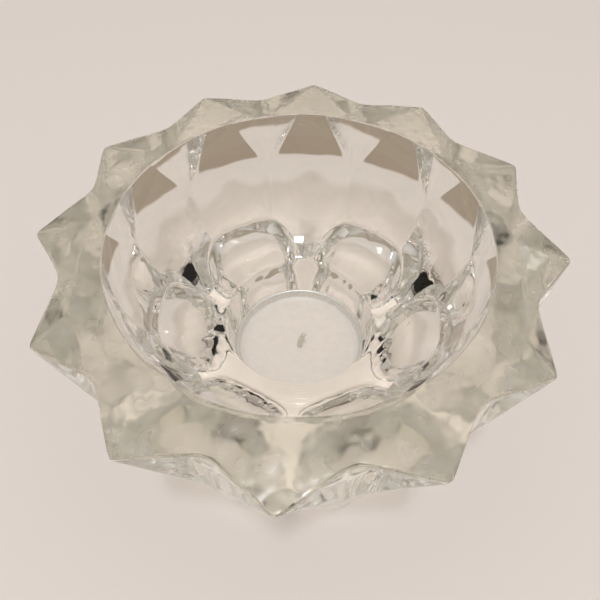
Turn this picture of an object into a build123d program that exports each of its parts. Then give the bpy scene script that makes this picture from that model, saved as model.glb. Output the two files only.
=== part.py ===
from build123d import *
from math import cos, radians, sin
import os

os.makedirs("parts", exist_ok=True)

# A heavy pressed-glass tealight holder with a twelve-pointed rim, and the tealight that it holds.
# Millimetres. +Z is up, and the origin is the centre of the flat underside.

# The glass outside
POINTS = 12  # points of the star rim
TIP_RADIUS = 66.0  # axis to the tip of a point
TIP_HEIGHT = 65.0  # underside to the tips
FOOT_RADIUS = 44.7  # axis to the middle of a lower facet at the underside
WAIST_HEIGHT = 46.5  # underside to the edge where the rim starts to flare
WAIST_RADIUS = 55.3  # axis to the middle of a facet at that edge
VALLEY_RADIUS = 57.0  # axis to the rim between two points
KNOB_HEIGHT = 40.8  # underside to the foot of each rim groove
RIM_RISE = 3.3  # rise of the rim's top face from the tips to the bowl's wall
TIP_FLAT = 1.6  # width of each point's blunt end
TIP_TURN = -4.18  # turn of the star about the axis, degrees

# The niches pressed into the lower half, one under every second point
NICHES = 6
NICHE_CENTRE = 46.6  # axis to the middle of a niche
NICHE_RADIUS = 19.0
NICHE_CROWN = 8.5  # radius of the flat left on top of a niche's dome
NICHE_HEIGHT = 23.0  # underside to the top of its dome

# The bowl, and the seat for the tealight in its floor
BOWL_RADIUS = 47.0  # bowl's wall at the rim
BOWL_FLOOR = 34.0  # underside to the bowl's lowest ring, at the seat's edge
BOWL_CURVE = 38.5  # radius of the wall's curve from the seat to the rim
RIM_ROUND = 1.5
SEAT_EDGE_RADIUS = 20.6  # seat's wall at its top
SEAT_FLOOR_RADIUS = 19.4  # seat's wall at its floor
SEAT_FLOOR = 6.5  # underside to the seat's floor
SEAT_EDGE_ROUND = 1.5
SEAT_CORNER = 1.2
CLEAR = 20.0  # how far the cutters run past the glass

# The tealight
CUP_HEIGHT = 15.5
CUP_TOP_RADIUS = 18.6
CUP_FLOOR_RADIUS = 18.0
CUP_CORNER = 1.0
CUP_WALL = 0.35
BEAD_RADIUS = 0.45
WAX_HEIGHT = 12.4
WAX_MENISCUS = 0.8  # rise of the wax where it meets the cup
MENISCUS_WIDTH = 2.5
SUSTAINER_RADIUS = 6.5
SUSTAINER_THICKNESS = 0.3
NECK_RADIUS = 1.3
NECK_HEIGHT = 3.4
WICK_RADIUS = 0.75
WICK_ABOVE_WAX = 7.0

CUP_BASE = SEAT_FLOOR  # the cup stands on the seat's floor
WAX_BASE = CUP_BASE + CUP_WALL
WAX_TOP = CUP_BASE + WAX_HEIGHT

sector = 360.0 / POINTS
first_tip = 90.0 + TIP_TURN
first_valley = first_tip + sector / 2
rim_slope = RIM_RISE / (TIP_RADIUS - BOWL_RADIUS)


def rim_height(radius):
    """Height of the rim's sloping top face at a distance from the axis."""
    return TIP_HEIGHT + (TIP_RADIUS - radius) * rim_slope


def facet_radius(height):
    """Distance from the axis to the middle of a leaning facet: the lower ones lean less than the flare."""
    lower = FOOT_RADIUS + (WAIST_RADIUS - FOOT_RADIUS) * height / WAIST_HEIGHT
    flare = WAIST_RADIUS + (TIP_RADIUS - WAIST_RADIUS) * (height - WAIST_HEIGHT) / (TIP_HEIGHT - WAIST_HEIGHT)
    return max(lower, flare)


def round_ring(builder, radius, height, ring_round):
    """Round the full circle at a distance from the axis and a height."""
    rings = builder.edges().filter_by(GeomType.CIRCLE).filter_by(lambda edge: edge.is_closed)
    fillet(rings.sort_by_distance((radius, 0, height))[0], ring_round)


def export(part, name):
    """Label a finished piece and write its STEP file."""
    part.label = name
    export_step(part, f"parts/{name}.step")


# Groove cutter: a wide V along the line from a rim valley down to the knob below it
half_sector = radians(sector / 2)
knob_radius = facet_radius(KNOB_HEIGHT) / cos(half_sector)
valley = Vector(VALLEY_RADIUS, 0, rim_height(VALLEY_RADIUS))
knob = Vector(knob_radius, 0, KNOB_HEIGHT)
tip_x = TIP_RADIUS * cos(half_sector) + TIP_FLAT / 2 * sin(half_sector)
tip_y = TIP_RADIUS * sin(half_sector) - TIP_FLAT / 2 * cos(half_sector)
groove_line = (knob - valley).normalized()
groove_out = Vector(-groove_line.Z, 0, groove_line.X)
groove_start = valley - groove_line * CLEAR
tip_from_valley = Vector(tip_x, tip_y, TIP_HEIGHT) - valley
tip_depth = tip_from_valley.dot(groove_out)
groove_depth = CLEAR
groove_half_width = groove_depth * tip_y / tip_depth

with BuildPart() as groove:
    with BuildSketch(Plane(origin=groove_start, x_dir=groove_out, z_dir=groove_line)):
        with BuildLine():
            Polyline(
                (0, 0),
                (groove_depth, groove_half_width),
                (groove_depth, -groove_half_width),
                close=True,
            )
        make_face()
    extrude(amount=3 * CLEAR + (knob - valley).length)

# Niche cutter: an upright round bar with a domed top
with BuildPart() as niche:
    with BuildSketch(Plane.XY.offset(-CLEAR)):
        Circle(NICHE_RADIUS)
    extrude(amount=CLEAR + NICHE_HEIGHT)
    fillet(niche.faces().sort_by(Axis.Z)[-1].edges(), NICHE_RADIUS - NICHE_CROWN)

# Hollow cutter: the seat, the bowl and the sloping top of the rim in one turn
rim_corner = (BOWL_RADIUS, rim_height(BOWL_RADIUS))
outer_radius = TIP_RADIUS + CLEAR

with BuildPart() as hollow:
    with BuildSketch(Plane.XZ):
        with BuildLine():
            Polyline(
                (0, SEAT_FLOOR),
                (SEAT_FLOOR_RADIUS, SEAT_FLOOR),
                (SEAT_EDGE_RADIUS, BOWL_FLOOR),
            )
            RadiusArc((SEAT_EDGE_RADIUS, BOWL_FLOOR), rim_corner, -BOWL_CURVE)
            Polyline(
                rim_corner,
                (outer_radius, rim_height(outer_radius)),
                (outer_radius, TIP_HEIGHT + CLEAR),
                (0, TIP_HEIGHT + CLEAR),
                (0, SEAT_FLOOR),
            )
        make_face()
    revolve(axis=Axis.Z)
    round_ring(hollow, SEAT_FLOOR_RADIUS, SEAT_FLOOR, SEAT_CORNER)
    round_ring(hollow, SEAT_EDGE_RADIUS, BOWL_FLOOR, SEAT_EDGE_ROUND)
    round_ring(hollow, BOWL_RADIUS, rim_height(BOWL_RADIUS), RIM_ROUND)

# Glass body: leaning facets that flare at the rim, grooved between the points, with niches and the bowl
top = TIP_HEIGHT + RIM_RISE

with BuildPart() as glass_body:
    for height in (0, WAIST_HEIGHT, top):
        with BuildSketch(Plane.XY.offset(height)):
            RegularPolygon(facet_radius(height), POINTS, major_radius=False, rotation=first_valley)
    loft(ruled=True)
    add(hollow.part, mode=Mode.SUBTRACT)
    with PolarLocations(0, POINTS, start_angle=first_valley):
        add(groove.part, mode=Mode.SUBTRACT)
    with PolarLocations(NICHE_CENTRE, NICHES, start_angle=first_tip + sector):
        add(niche.part, mode=Mode.SUBTRACT)
export(glass_body.part, "glass_body")

# Tealight cup: a thin drawn cup with a rolled bead round its mouth
cup_mouth = CUP_BASE + CUP_HEIGHT

with BuildPart() as tealight_cup:
    with BuildSketch(Plane.XZ):
        with BuildLine():
            Polyline(
                (0, CUP_BASE),
                (CUP_FLOOR_RADIUS, CUP_BASE),
                (CUP_TOP_RADIUS, cup_mouth),
                (CUP_TOP_RADIUS - CUP_WALL, cup_mouth),
                (CUP_FLOOR_RADIUS - CUP_WALL, WAX_BASE),
                (0, WAX_BASE),
                close=True,
            )
        make_face()
        with Locations((CUP_TOP_RADIUS, cup_mouth)):
            Circle(BEAD_RADIUS)
    revolve(axis=Axis.Z)
    round_ring(tealight_cup, CUP_FLOOR_RADIUS, CUP_BASE, CUP_CORNER)
    round_ring(tealight_cup, CUP_FLOOR_RADIUS - CUP_WALL, WAX_BASE, CUP_CORNER - CUP_WALL)
export(tealight_cup.part, "tealight_cup")

# Wick sustainer: a tin disc on the cup's floor, with a crimped neck
with BuildPart() as wick_sustainer:
    with BuildSketch(Plane.XZ):
        with BuildLine():
            Polyline(
                (WICK_RADIUS, WAX_BASE),
                (SUSTAINER_RADIUS, WAX_BASE),
                (SUSTAINER_RADIUS, WAX_BASE + SUSTAINER_THICKNESS),
                (NECK_RADIUS, WAX_BASE + SUSTAINER_THICKNESS),
                (NECK_RADIUS, WAX_BASE + NECK_HEIGHT),
                (WICK_RADIUS, WAX_BASE + NECK_HEIGHT),
                close=True,
            )
        make_face()
    revolve(axis=Axis.Z)
export(wick_sustainer.part, "wick_sustainer")

# Wick: a straight cord from the cup's floor to above the wax
with BuildPart() as wick:
    with BuildSketch(Plane.XY.offset(WAX_BASE)):
        Circle(WICK_RADIUS)
    extrude(amount=WAX_HEIGHT - CUP_WALL + WICK_ABOVE_WAX)
    fillet(wick.faces().sort_by(Axis.Z)[-1].edges(), WICK_RADIUS / 2)
export(wick.part, "wick")

# Wax: cast round the wick and its sustainer, climbing a little where it meets the cup
wall_lean = (CUP_TOP_RADIUS - CUP_FLOOR_RADIUS) / CUP_HEIGHT
wax_floor_radius = CUP_FLOOR_RADIUS - CUP_WALL
wax_edge_top = WAX_TOP + WAX_MENISCUS
wax_edge_radius = wax_floor_radius + wall_lean * (wax_edge_top - WAX_BASE)

with BuildPart() as wax:
    with BuildSketch(Plane.XZ):
        with BuildLine():
            Polyline(
                (wax_edge_radius, wax_edge_top),
                (wax_floor_radius, WAX_BASE),
                (0, WAX_BASE),
                (0, WAX_TOP),
                (wax_edge_radius - MENISCUS_WIDTH, WAX_TOP),
            )
            TangentArc(
                (wax_edge_radius - MENISCUS_WIDTH, WAX_TOP),
                (wax_edge_radius, wax_edge_top),
                tangent=(1, 0),
            )
        make_face()
    revolve(axis=Axis.Z)
    round_ring(wax, wax_floor_radius, WAX_BASE, CUP_CORNER - CUP_WALL)
    add(wick_sustainer.part, mode=Mode.SUBTRACT)
    add(wick.part, mode=Mode.SUBTRACT)
export(wax.part, "wax")
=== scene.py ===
"""Looks for the tealight holder: one heavy clear glass body, and the tealight that lifts out of its seat.

Metres, in the CAD's frame: +Z is up and the origin is the centre of the flat underside.
"""

from math import cos, hypot, pi, radians, sin

import bmesh
import bpy
import numpy as np
from mathutils import Matrix, Vector


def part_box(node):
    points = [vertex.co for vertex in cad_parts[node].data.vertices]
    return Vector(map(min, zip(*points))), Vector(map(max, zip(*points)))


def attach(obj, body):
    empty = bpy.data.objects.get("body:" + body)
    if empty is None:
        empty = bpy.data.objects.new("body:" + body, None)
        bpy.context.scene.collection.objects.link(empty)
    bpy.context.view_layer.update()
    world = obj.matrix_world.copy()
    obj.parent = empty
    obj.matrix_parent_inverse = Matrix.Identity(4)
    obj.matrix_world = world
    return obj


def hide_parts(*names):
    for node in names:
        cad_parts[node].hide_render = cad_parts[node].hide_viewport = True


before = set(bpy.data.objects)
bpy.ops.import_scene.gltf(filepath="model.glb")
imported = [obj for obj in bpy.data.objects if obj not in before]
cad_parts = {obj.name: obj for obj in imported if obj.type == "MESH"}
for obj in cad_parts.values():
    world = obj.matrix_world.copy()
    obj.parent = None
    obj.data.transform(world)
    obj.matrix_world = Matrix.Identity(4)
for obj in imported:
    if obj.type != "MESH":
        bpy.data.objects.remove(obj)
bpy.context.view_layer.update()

MM = 0.001

# Glass outside, as the CAD has it, but its valleys start 0.3 mm deeper: soft grooves fill them a little
POINTS = 12
TIP_RADIUS = 66.0 * MM
TIP_HEIGHT = 65.0 * MM
TIP_TURN = radians(-4.18)  # turn of the star about the axis
FOOT_RADIUS = 44.7 * MM  # axis to the middle of a lower facet at the underside
WAIST_HEIGHT = 46.5 * MM  # underside to the edge where the rim starts to flare
WAIST_RADIUS = 55.3 * MM  # axis to the middle of a facet at that edge
VALLEY_RADIUS = 56.7 * MM  # axis to the rim between two points, before the groove is softened
KNOB_HEIGHT = 40.8 * MM  # underside to the foot of each rim groove
RIM_RISE = 3.3 * MM  # rise of the rim's top face from the tips to the bowl's wall
EDGE_SOFTNESS = 0.2 * MM  # how softly the fire-polished faces run into each other
GROOVE_SOFTNESS = 0.9 * MM
WAIST_SOFTNESS = 0.15 * MM
TIP_ROUND = 0.25 * MM

# Niches
NICHES = 6
NICHE_CENTRE = 46.6 * MM
NICHE_RADIUS = 19.0 * MM
NICHE_HEIGHT = 23.0 * MM
NICHE_SQUARENESS = 3
STREAK_DEPTH = 0.30 * MM  # upright streaks pressed into the niches
STREAK_LENGTH = 4.0 * MM

# Bowl and seat
BOWL_RADIUS = 47.0 * MM
BOWL_FLOOR = 34.0 * MM
BOWL_CURVE = 38.5 * MM
SEAT_EDGE_RADIUS = 20.6 * MM
SEAT_FLOOR_RADIUS = 19.4 * MM
SEAT_FLOOR = 6.5 * MM

# Mesh of the glass
COLUMNS = 720  # round the axis
OUTER_RINGS = 300
RIM_RINGS = OUTER_RINGS // 6  # of these, how many lie on the rim's top, and about as many just below it
INNER_STEP = 0.5 * MM
INNER_SMOOTHING = 14  # passes that round the seat's corner, the seat's edge and the rim's edge
VIEW_RADIUS = 13.0 * MM  # the outside is found along rays from this ring, at the height of the tips
RAY_LENGTH = 105.0 * MM
RIM_SLANT = 0.1  # radians below level within which the rings are closer together
BISECTIONS = 34
RIPPLE_DEPTH = 0.10 * MM
RIPPLE_LENGTH = 13.0 * MM
RIPPLE_WAVES = 10

# Finish of the glass by region: tints and roughness (in the hollows, on the crests), waves (scale, height).
# They are matched one by one. The real object is one clear glass, so the way its tints differ by region
# is painted light and shade: the rim top's grey is painted shade, and the bowl's warmer tint is painted
# floor light.
OUTSIDE_TINTS = ((0.91, 0.92, 0.85), (0.955, 0.95, 0.91))
RIM_TINTS_PAINTED_SHADE = ((0.68, 0.66, 0.56), (0.80, 0.77, 0.67))
BOWL_TINTS_PAINTED_LIGHT = ((0.91, 0.885, 0.87), (0.94, 0.915, 0.90))
OUTSIDE_ROUGHNESS = (0.0, 0.04)
RIM_ROUGHNESS = (0.16, 0.30)
BOWL_ROUGHNESS = (0.0, 0.02)
OUTSIDE_WAVE = (150.0, 0.10 * MM)
RIM_WAVE = (190.0, 0.6 * MM)
BOWL_WAVE = (60.0, 0.05 * MM)
SHADOW_TINT = (0.70, 0.68, 0.655)  # what straight light keeps at each surface of the glass

# Tealight
CUP_RIBS = 72
RIB_DEPTH = 0.16 * MM
BEAD_RADIUS = 0.45 * MM
CUP_FLOOR_RADIUS = 18.0 * MM
CUP_CORNER = 1.0 * MM
WICK_LEAN = 1.6 * MM  # how far the wick's tip leans over

# Camera, fitted to the photograph's perspective
CAMERA_ELEVATION = radians(49.079)
CAMERA_DISTANCE = 152.26 * MM
CAMERA_PITCH = radians(4.9549)
CAMERA_YAW = radians(0.0693)
CAMERA_ROLL = radians(0.2588)
CAMERA_LENS = 37.10
SENSOR_WIDTH = 36.0

FLOOR_SIZE = 3.0
FLOOR_GAP = 0.1 * MM
# Staging. Light that reaches the floor other than straight from the camera finds it darker beyond the patch.
# This painted shade stands for the dark surround seen in the glass, and is no part of the object.
FLOOR_COLOUR = (0.88, 0.81, 0.785)
PAINTED_SURROUND_SHADE = (0.42, 0.34, 0.265)
PATCH_RADIUS = 0.118
PATCH_EDGE = 0.004
LAMP_PLACE = Vector((0.0, -0.40, 1.50))
LAMP_SIZE = 0.12
LAMP_POWER = 7.0
SKY_STOPS = (  # from straight down, by way of the horizon at 0.5, to straight up
    (0.0, (0.02, 0.02, 0.015)),
    (0.52, (0.24, 0.215, 0.175)),
    (0.60, (0.32, 0.29, 0.235)),
    (1.0, (0.75, 0.72, 0.68)),
)

SECTOR = 2 * pi / POINTS
FIRST_TIP = pi / 2 + TIP_TURN


# ---------------------------------------------------------------- meshes

def ring_mesh(name, radii, heights, angles, lean=None):
    """A closed mesh of rings about the axis, from its first ring to its last, both ends filled by a fan.

    radii and heights have one row for each ring and one column for each angle. lean, if given, is each
    ring's own shift along X.
    """
    shift = np.zeros(len(radii)) if lean is None else np.asarray(lean)
    x = radii * np.cos(angles) + shift[:, None]
    y = radii * np.sin(angles)
    rings = np.stack([x, y, heights], axis=-1)
    row_count, column_count = radii.shape
    ends = np.stack([rings[0].mean(0), rings[-1].mean(0)])
    points = np.concatenate([rings.reshape(-1, 3), ends])
    column = np.arange(column_count)
    following = (column + 1) % column_count
    faces = []
    for row in range(row_count - 1):
        low, high = row * column_count, (row + 1) * column_count
        faces += np.stack([low + column, low + following, high + following, high + column], 1).tolist()
    last = (row_count - 1) * column_count
    first_centre = row_count * column_count
    faces += np.stack([np.full(column_count, first_centre), following, column], 1).tolist()
    faces += np.stack([np.full(column_count, first_centre + 1), last + column, last + following], 1).tolist()
    mesh = bpy.data.meshes.new(name)
    mesh.from_pydata(points.tolist(), [], faces)
    mesh.polygons.foreach_set("use_smooth", np.ones(len(mesh.polygons), bool))
    tidy = bmesh.new()
    tidy.from_mesh(mesh)
    bmesh.ops.recalc_face_normals(tidy, faces=tidy.faces)
    tidy.to_mesh(mesh)
    tidy.free()
    piece = bpy.data.objects.new(name, mesh)
    bpy.context.scene.collection.objects.link(piece)
    return piece


def resample(outline, step):
    """Points every step along an outline of (radius, height) points."""
    outline = np.array(outline)
    along = np.concatenate([[0], np.cumsum(np.hypot(*np.diff(outline, axis=0).T))])
    places = np.linspace(0, along[-1], int(along[-1] / step) + 1)
    return np.stack([np.interp(places, along, outline[:, 0]), np.interp(places, along, outline[:, 1])], 1)


def soften(outline, passes):
    """Rounds an evenly spaced outline's corners by averaging each point with its neighbours."""
    for _ in range(passes):
        outline[1:-1] = (outline[:-2] + 2 * outline[1:-1] + outline[2:]) / 4
    return outline


def ripple(x, y, z, length, seed):
    """A smooth random wave of about unit height over space, the same at every run."""
    chance = np.random.default_rng(seed)
    total = np.zeros_like(x)
    for _ in range(RIPPLE_WAVES):
        direction = chance.normal(size=3)
        direction *= 2 * pi / length / np.linalg.norm(direction) * chance.uniform(0.6, 1.5)
        total += np.sin(direction[0] * x + direction[1] * y + direction[2] * z + chance.uniform(0, 2 * pi))
    return total / np.sqrt(RIPPLE_WAVES)


# ---------------------------------------------------------------- glass body

def soft_max(values, softness):
    """The largest of several fields, with a rounded edge where two of them meet."""
    stack = np.stack(values)
    peak = stack.max(0)
    return peak + softness * np.log(np.exp((stack - peak) / softness).sum(0))


def soft_min(values, softness):
    return -soft_max([-value for value in values], softness)


def rim_height(radius):
    """Height of the rim's sloping top face at a distance from the axis."""
    return TIP_HEIGHT + (TIP_RADIUS - radius) * RIM_RISE / (TIP_RADIUS - BOWL_RADIUS)


def lower_radius(height):
    """Distance from the axis to the middle of a lower facet, which leans less than the rim's flare."""
    return FOOT_RADIUS + (WAIST_RADIUS - FOOT_RADIUS) * height / WAIST_HEIGHT


def flare_radius(height):
    """Distance from the axis to the middle of a facet of the rim's flare."""
    return WAIST_RADIUS + (TIP_RADIUS - WAIST_RADIUS) * (height - WAIST_HEIGHT) / (TIP_HEIGHT - WAIST_HEIGHT)


def groove_plane():
    """One side of a rim groove: the plane through a tip, the valley beside it and the knob below that."""
    half = SECTOR / 2
    knob_radius = lower_radius(KNOB_HEIGHT) / cos(half)
    tip = np.array([TIP_RADIUS, 0, TIP_HEIGHT])
    valley = np.array([VALLEY_RADIUS * cos(half), VALLEY_RADIUS * sin(half), rim_height(VALLEY_RADIUS)])
    knob = np.array([knob_radius * cos(half), knob_radius * sin(half), KNOB_HEIGHT])
    normal = np.cross(valley - tip, knob - tip)
    normal *= np.sign(normal[0]) / np.linalg.norm(normal)
    return normal, normal @ tip


def niche_field(radius, turn, height):
    """Above 0 inside a niche: a squarish dome, open below and outside."""
    sector = 2 * pi / NICHES
    from_niche = turn % sector - sector / 2
    outward = np.abs(radius * np.cos(from_niche) - NICHE_CENTRE) / NICHE_RADIUS
    aside = np.abs(radius * np.sin(from_niche)) / NICHE_RADIUS
    upward = np.maximum(height, 0) / NICHE_HEIGHT
    reach = outward**NICHE_SQUARENESS + aside**NICHE_SQUARENESS + upward**NICHE_SQUARENESS
    return (1 - reach ** (1 / NICHE_SQUARENESS)) * NICHE_RADIUS


def glass_field(radius, turn, height):
    """Below 0 inside the glass's outer shape and above 0 outside it. turn is measured from a tip."""
    from_tip = np.abs((turn + SECTOR / 2) % SECTOR - SECTOR / 2)
    normal, level = groove_plane()
    lower_lean = hypot(1, (WAIST_RADIUS - FOOT_RADIUS) / WAIST_HEIGHT)
    flare_lean = hypot(1, (TIP_RADIUS - WAIST_RADIUS) / (TIP_HEIGHT - WAIST_HEIGHT))
    facets, grooves = [], []
    for angle in (from_tip, SECTOR - from_tip):
        across, along = radius * np.cos(angle), radius * np.sin(angle)
        lower = (across - lower_radius(height)) / lower_lean
        flare = (across - flare_radius(height)) / flare_lean
        facets.append(soft_min([lower, flare], WAIST_SOFTNESS))
        grooves.append(normal[0] * across + normal[1] * along + normal[2] * height - level)
    niche = niche_field(radius, turn, height)
    top = height - rim_height(radius)
    body = soft_max([*facets, soft_min(grooves, GROOVE_SOFTNESS), niche, top, -height], EDGE_SOFTNESS)
    return soft_max([body, radius - TIP_RADIUS + TIP_ROUND], TIP_ROUND)


def outer_surface(turns):
    """Radius and height of the outer surface, from the underside up to the bowl's edge."""
    mouth = np.arctan2(rim_height(BOWL_RADIUS) - TIP_HEIGHT, BOWL_RADIUS - VIEW_RADIUS)
    slants = np.concatenate([
        np.linspace(-pi / 2, -RIM_SLANT, OUTER_RINGS - 2 * RIM_RINGS)[:-1],
        np.linspace(-RIM_SLANT, 0, RIM_RINGS)[:-1],
        np.linspace(0, mouth, RIM_RINGS),
    ])
    turn, slant = np.meshgrid(turns, slants)
    inside, outside = np.zeros_like(turn), np.full_like(turn, RAY_LENGTH)
    for _ in range(BISECTIONS):
        middle = (inside + outside) / 2
        value = glass_field(VIEW_RADIUS + middle * np.cos(slant), turn, TIP_HEIGHT + middle * np.sin(slant))
        outside = np.where(value > 0, middle, outside)
        inside = np.where(value > 0, inside, middle)
    radius, height = VIEW_RADIUS + inside * np.cos(slant), TIP_HEIGHT + inside * np.sin(slant)
    x, y = radius * np.cos(turn), radius * np.sin(turn)
    waves = RIPPLE_DEPTH * ripple(x, y, height, RIPPLE_LENGTH, seed=3)
    in_niche = np.clip(niche_field(radius, turn, height) / (0.5 * MM) + 1, 0, 1)
    waves += STREAK_DEPTH * in_niche * ripple(x, y, height / 5, STREAK_LENGTH, seed=8)
    radius = radius + waves * np.clip(height / MM, 0, 1)
    return radius, height


def bowl_outline():
    """Outline of the hollow, from the rim's edge down the bowl and the seat to the middle of its floor."""
    rim = np.array([BOWL_RADIUS, rim_height(BOWL_RADIUS)])
    foot = np.array([SEAT_EDGE_RADIUS, BOWL_FLOOR])
    chord = rim - foot
    half_chord = np.linalg.norm(chord) / 2
    inward = np.array([-chord[1], chord[0]]) / (2 * half_chord)
    centre = (rim + foot) / 2 + inward * np.sqrt(BOWL_CURVE**2 - half_chord**2)
    start, end = (np.arctan2(*(point - centre)[::-1]) for point in (rim, foot))
    bends = np.linspace(start, end, 40)
    wall = centre + BOWL_CURVE * np.stack([np.cos(bends), np.sin(bends)], 1)
    seat = [(SEAT_FLOOR_RADIUS, SEAT_FLOOR), (0.02 * MM, SEAT_FLOOR)]
    return soften(resample([*wall, *seat], INNER_STEP), INNER_SMOOTHING)


def make_glass():
    turns = np.arange(COLUMNS) * 2 * pi / COLUMNS
    radius, height = outer_surface(turns)
    hollow = bowl_outline()[1:]
    hollow_radius = np.repeat(hollow[:, :1], COLUMNS, axis=1)
    hollow_height = np.repeat(hollow[:, 1:], COLUMNS, axis=1)
    radii = np.concatenate([radius, hollow_radius])
    heights = np.concatenate([height, hollow_height])
    glass = ring_mesh("glass_star_bowl", radii, heights, turns + FIRST_TIP)
    # the rim top's and the bowl's tints hold painted shade and painted light
    for finish in (
        ("glass_outside", OUTSIDE_TINTS, OUTSIDE_ROUGHNESS, OUTSIDE_WAVE),
        ("glass_rim_top", RIM_TINTS_PAINTED_SHADE, RIM_ROUGHNESS, RIM_WAVE),
        ("glass_bowl", BOWL_TINTS_PAINTED_LIGHT, BOWL_ROUGHNESS, BOWL_WAVE),
    ):
        glass.data.materials.append(glass_material(*finish))
    rows = np.arange(len(glass.data.polygons)) // COLUMNS
    rim_row = OUTER_RINGS - RIM_RINGS - 2
    region = (rows >= rim_row).astype(int) + (rows >= len(radius) - 1)
    region[-2 * COLUMNS:-COLUMNS] = 0
    glass.data.polygons.foreach_set("material_index", region)
    return glass


# ---------------------------------------------------------------- materials

def node_material(name):
    """A new material, its node tree and its Principled shader."""
    material = bpy.data.materials.new(name)
    material.use_nodes = True
    return material, material.node_tree, material.node_tree.nodes["Principled BSDF"]


def add_noise(tree, scale, detail, roughness=0.5):
    """A noise texture in object space."""
    coordinates = tree.nodes.new("ShaderNodeTexCoord")
    noise = tree.nodes.new("ShaderNodeTexNoise")
    noise.inputs["Scale"].default_value = scale
    noise.inputs["Detail"].default_value = detail
    noise.inputs["Roughness"].default_value = roughness
    tree.links.new(coordinates.outputs["Object"], noise.inputs["Vector"])
    return noise


def add_bump(tree, shader, height_socket, strength, distance):
    bump = tree.nodes.new("ShaderNodeBump")
    bump.inputs["Strength"].default_value = strength
    bump.inputs["Distance"].default_value = distance
    tree.links.new(height_socket, bump.inputs["Height"])
    tree.links.new(bump.outputs["Normal"], shader.inputs["Normal"])


def add_ramp(tree, socket, stops):
    """A colour ramp over a value. stops are (place, colour)."""
    ramp = tree.nodes.new("ShaderNodeValToRGB")
    elements = ramp.color_ramp.elements
    while len(elements) < len(stops):
        elements.new(0.5)
    for element, (place, colour) in zip(elements, stops):
        element.position = place
        element.color = (*colour, 1)
    tree.links.new(socket, ramp.inputs["Fac"])
    return ramp.outputs["Color"]


def glass_material(name, tints, roughness, wave):
    """Pressed glass: wavy and tinted, and letting straight light through to what stands in it.

    tints and roughness are (in the hollows, on the crests) of the waves. wave is (scale, height).
    """
    material, tree, shader = node_material(name)
    shader.inputs["Transmission Weight"].default_value = 1.0
    shader.inputs["IOR"].default_value = 1.52
    scale, height = wave
    waves = add_noise(tree, scale, 1.0)
    tint = add_ramp(tree, waves.outputs["Fac"], [(0.3, tints[0]), (0.7, tints[1])])
    tree.links.new(tint, shader.inputs["Base Color"])
    shine = add_ramp(tree, waves.outputs["Fac"], [(0.3, (roughness[0],) * 3), (0.7, (roughness[1],) * 3)])
    tree.links.new(shine, shader.inputs["Roughness"])
    add_bump(tree, shader, waves.outputs["Fac"], 1.0, height)
    light_path = tree.nodes.new("ShaderNodeLightPath")
    clear = tree.nodes.new("ShaderNodeBsdfTransparent")
    clear.inputs["Color"].default_value = (*SHADOW_TINT, 1)
    mix = tree.nodes.new("ShaderNodeMixShader")
    output = tree.nodes["Material Output"]
    tree.links.new(light_path.outputs["Is Shadow Ray"], mix.inputs["Fac"])
    tree.links.new(shader.outputs[0], mix.inputs[1])
    tree.links.new(clear.outputs[0], mix.inputs[2])
    tree.links.new(mix.outputs[0], output.inputs["Surface"])
    return material


def metal_material(name, colour, roughness):
    """Thin drawn metal with fine drawing marks round its wall."""
    material, tree, shader = node_material(name)
    shader.inputs["Metallic"].default_value = 1.0
    marks = add_noise(tree, 900.0, 3.0)
    tint = add_ramp(tree, marks.outputs["Fac"], [(0.3, [c * 0.9 for c in colour]), (0.7, colour)])
    tree.links.new(tint, shader.inputs["Base Color"])
    low, high = roughness
    shine = add_ramp(tree, marks.outputs["Fac"], [(0.3, (low,) * 3), (0.7, (high,) * 3)])
    tree.links.new(shine, shader.inputs["Roughness"])
    add_bump(tree, shader, marks.outputs["Fac"], 0.2, 0.05 * MM)
    return material


def wax_material():
    """Paraffin wax: white, a little see-through, with a faint crystalline mottle."""
    material, tree, shader = node_material("paraffin_wax")
    mottle = add_noise(tree, 420.0, 4.0, 0.6)
    tint = add_ramp(tree, mottle.outputs["Fac"], [(0.3, (0.84, 0.77, 0.71)), (0.7, (0.89, 0.83, 0.78))])
    tree.links.new(tint, shader.inputs["Base Color"])
    shine = add_ramp(tree, mottle.outputs["Fac"], [(0.3, (0.32, 0.32, 0.32)), (0.7, (0.5, 0.5, 0.5))])
    tree.links.new(shine, shader.inputs["Roughness"])
    shader.inputs["Subsurface Weight"].default_value = 0.35
    shader.inputs["Subsurface Radius"].default_value = (1.0, 0.8, 0.6)
    shader.inputs["Subsurface Scale"].default_value = 1.5 * MM
    add_bump(tree, shader, mottle.outputs["Fac"], 0.25, 0.12 * MM)
    return material


def wick_material():
    """Waxed cotton: off-white, with fibre along the braid."""
    material, tree, shader = node_material("waxed_cotton")
    fibre = add_noise(tree, 4200.0, 3.0, 0.7)
    tint = add_ramp(tree, fibre.outputs["Fac"], [(0.3, (0.72, 0.68, 0.58)), (0.7, (0.90, 0.87, 0.78))])
    tree.links.new(tint, shader.inputs["Base Color"])
    shader.inputs["Roughness"].default_value = 0.6
    add_bump(tree, shader, fibre.outputs["Fac"], 0.4, 0.08 * MM)
    return material


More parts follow.
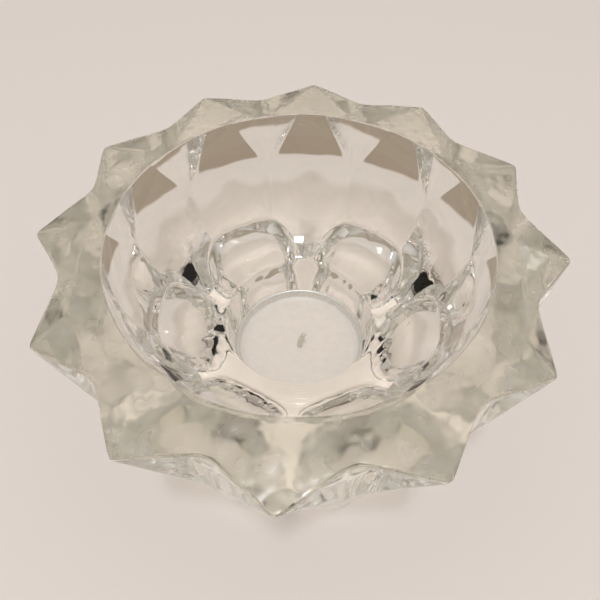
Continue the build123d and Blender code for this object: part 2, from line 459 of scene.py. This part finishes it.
def floor_material():
    """Plain pale surface to the camera, matt. To all other rays it is darker beyond the patch: painted shade
    for the glass to show.
    """
    material, tree, shader = node_material("pale_floor")
    shader.inputs["Roughness"].default_value = 0.6
    coordinates = tree.nodes.new("ShaderNodeTexCoord")
    distance = tree.nodes.new("ShaderNodeVectorMath")
    distance.operation = "LENGTH"
    tree.links.new(coordinates.outputs["Object"], distance.inputs[0])
    beyond = tree.nodes.new("ShaderNodeMapRange")
    beyond.inputs["From Min"].default_value = PATCH_RADIUS
    beyond.inputs["From Max"].default_value = PATCH_RADIUS + PATCH_EDGE
    tree.links.new(distance.outputs["Value"], beyond.inputs["Value"])
    light_path = tree.nodes.new("ShaderNodeLightPath")
    seen_in_glass = tree.nodes.new("ShaderNodeMath")
    seen_in_glass.operation = "SUBTRACT"
    tree.links.new(beyond.outputs[0], seen_in_glass.inputs[0])
    tree.links.new(light_path.outputs["Is Camera Ray"], seen_in_glass.inputs[1])
    seen_in_glass.use_clamp = True
    # beyond the patch, rays other than the camera's find painted shade
    colour = add_ramp(tree, seen_in_glass.outputs[0], [(0.0, FLOOR_COLOUR), (1.0, PAINTED_SURROUND_SHADE)])
    tree.links.new(colour, shader.inputs["Base Color"])
    return material


# ---------------------------------------------------------------- tealight

def make_cup():
    """The drawn cup: ribbed wall outside and inside, a rolled bead at its mouth and a flat floor."""
    low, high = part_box("tealight_cup")
    wax_low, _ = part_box("wax")
    bead_outer = high.x
    wall = wax_low.z - low.z
    mouth = high.z - BEAD_RADIUS
    top_radius = bead_outer - BEAD_RADIUS
    steps = np.linspace(0, 1, 26)
    bead_turns = np.linspace(-pi / 2, pi * 1.5, 14)[1:-1]
    flare = top_radius - CUP_FLOOR_RADIUS
    outside = [(CUP_FLOOR_RADIUS + flare * s, low.z + (mouth - low.z) * s) for s in steps]
    bead = [(top_radius + BEAD_RADIUS * cos(b), mouth + BEAD_RADIUS * sin(b)) for b in bead_turns]
    inside = [(r - wall, h) for r, h in outside[::-1] if h > low.z + 2 * wall]
    floor_edge = CUP_FLOOR_RADIUS - wall
    profile = [(0.05 * MM, low.z), (CUP_FLOOR_RADIUS - CUP_CORNER, low.z), *outside[1:], *bead, *inside]
    profile += [
        (floor_edge, low.z + 2 * wall),
        (floor_edge - 0.6 * MM, low.z + wall),
        (0.05 * MM, low.z + wall),
    ]
    profile = np.array(profile)
    turns = np.arange(720) * 2 * pi / 720
    height_share = np.clip((profile[:, 1] - low.z) / (mouth - low.z), 0, 1)
    on_wall = profile[:, 0] > floor_edge - 0.1 * MM
    fade = np.where(on_wall, np.sin(pi * np.clip(height_share, 0, 1)) ** 0.5, 0)
    ribs = RIB_DEPTH * np.sin(CUP_RIBS * turns)
    radii = profile[:, :1] + fade[:, None] * (ribs - RIB_DEPTH)[None, :]
    heights = np.repeat(profile[:, 1:], len(turns), axis=1)
    return ring_mesh("tealight_cup_ribbed", radii, heights, turns)


def make_wick():
    """The wick: a braided cord whose free end leans over a little."""
    low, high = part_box("wick")
    cord_radius = high.x
    turns = np.arange(48) * 2 * pi / 48
    places = np.linspace(low.z, high.z, 150)
    climb = (places - low.z)[:, None]
    strands = np.maximum(np.cos(3 * (turns + climb * 900)), np.cos(3 * (turns - climb * 900)))
    radii = cord_radius * (0.86 + 0.14 * strands)
    end_round = np.clip((high.z - places) / (0.6 * cord_radius), 0.02, 1) ** 0.5
    radii = radii * end_round[:, None]
    heights = np.repeat(places[:, None], len(turns), axis=1)
    _, wax_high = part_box("wax")
    free = np.clip((places - wax_high.z) / (high.z - wax_high.z), 0, 1)
    return ring_mesh("wick_braid", radii, heights, turns, lean=WICK_LEAN * free**2)


# ---------------------------------------------------------------- scene

def place_camera():
    """The camera, from the perspective fitted to the rim's points."""
    def turn_x(angle):
        return Matrix.Rotation(angle, 3, "X")

    back = Vector((0, -cos(CAMERA_ELEVATION), sin(CAMERA_ELEVATION)))
    right = Vector((1, 0, 0))
    to_camera = Matrix((right, back.cross(right), back))
    to_camera = Matrix.Rotation(CAMERA_ROLL, 3, "Z") @ turn_x(CAMERA_PITCH) \
        @ Matrix.Rotation(CAMERA_YAW, 3, "Y") @ to_camera
    data = bpy.data.cameras.new("camera")
    data.sensor_width = SENSOR_WIDTH
    data.lens = CAMERA_LENS
    data.clip_start = 1 * MM
    camera = bpy.data.objects.new("camera", data)
    bpy.context.scene.collection.objects.link(camera)
    centre = Vector((0, 0, TIP_HEIGHT))
    place = Matrix.Translation(centre + back * CAMERA_DISTANCE)
    camera.matrix_world = place @ to_camera.transposed().to_4x4()
    bpy.context.scene.camera = camera


def place_floor():
    bpy.ops.mesh.primitive_plane_add(size=FLOOR_SIZE, location=(0, 0, -FLOOR_GAP))
    floor = bpy.context.object
    floor.name = "floor"
    floor.data.materials.append(floor_material())


def add_area_light(name, location, size, power):
    data = bpy.data.lights.new(name, "AREA")
    data.size = size
    data.energy = power
    light = bpy.data.objects.new(name, data)
    light.location = location
    light.rotation_mode = "QUATERNION"
    light.rotation_quaternion = (Vector((0, 0, TIP_HEIGHT / 2)) - light.location).to_track_quat("-Z", "Y")
    bpy.context.scene.collection.objects.link(light)


def light_scene():
    """A soft sky, dimmer towards the horizon, and one small lamp for the star's shadow and the glints."""
    add_area_light("key", LAMP_PLACE, LAMP_SIZE, LAMP_POWER)
    world = bpy.data.worlds.new("studio")
    bpy.context.scene.world = world
    world.use_nodes = True
    tree = world.node_tree
    background = tree.nodes["Background"]
    coordinates = tree.nodes.new("ShaderNodeTexCoord")
    parts = tree.nodes.new("ShaderNodeSeparateXYZ")
    share = tree.nodes.new("ShaderNodeMapRange")
    share.inputs["From Min"].default_value = -1
    tree.links.new(coordinates.outputs["Generated"], parts.inputs[0])
    tree.links.new(parts.outputs["Z"], share.inputs["Value"])
    sky = add_ramp(tree, share.outputs[0], SKY_STOPS)
    tree.links.new(sky, background.inputs["Color"])
    scene = bpy.context.scene
    scene.view_settings.view_transform = "Standard"
    scene.cycles.max_bounces = 24
    scene.cycles.transmission_bounces = 24
    scene.cycles.transparent_max_bounces = 24
    scene.cycles.glossy_bounces = 12


def dress(piece, material, body, replaced):
    """Give a new piece its material, and let it ride, stand for its CAD node and take its finish."""
    if material:
        piece.data.materials.append(material)
    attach(piece, body)
    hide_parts(replaced)


def recoat(node, material):
    """Put a material on a CAD node that is shown as it is."""
    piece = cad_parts[node]
    piece.data.materials.clear()
    piece.data.materials.append(material)


dress(make_glass(), None, "holder", "glass_body")
foil = metal_material("aluminium_foil", (0.90, 0.89, 0.87), (0.42, 0.58))
dress(make_cup(), foil, "tealight", "tealight_cup")
dress(make_wick(), wick_material(), "tealight", "wick")
recoat("wax", wax_material())
recoat("wick_sustainer", metal_material("tin_plate", (0.75, 0.75, 0.74), (0.25, 0.4)))

place_floor()
light_scene()
place_camera()
